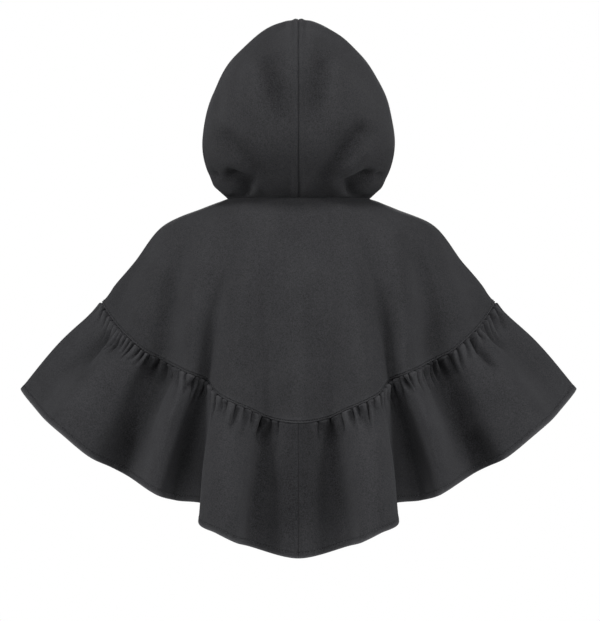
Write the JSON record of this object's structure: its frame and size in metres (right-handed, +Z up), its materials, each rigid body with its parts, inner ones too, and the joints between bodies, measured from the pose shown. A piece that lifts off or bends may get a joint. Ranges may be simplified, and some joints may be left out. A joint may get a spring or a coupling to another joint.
{
  "type": "hooded cape",
  "caption": "Child's hooded felt cape, filled out as worn, with a rounded yoke, a gathered ruffle round the hem and a button loop at the neck.",
  "frame": {"origin": "middle of the neck opening at the height of the back neck seam, where the wearer's neck and shoulders hold the cape", "axes": "+X to the wearer's right along the shoulders, +Y out of the cape's front, +Z up; the pictured back faces -Y"},
  "size_m": [0.6119, 0.3419, 0.582],
  "materials": {
    "hood_felt": "brushed charcoal felt",
    "yoke_felt": "brushed charcoal felt",
    "ruffle_felt": "brushed charcoal felt",
    "button": "satin black plastic",
    "loop_cord": "braided black cord"
  },
  "bodies": {
    "root": {"hood_left": "hood_felt", "hood_right": "hood_felt", "back": "yoke_felt", "front_left": "yoke_felt", "front_right": "yoke_felt", "ruffle_left": "ruffle_felt", "ruffle_right": "ruffle_felt", "button": "button", "button_loop": "loop_cord"}
  },
  "joints": []
}
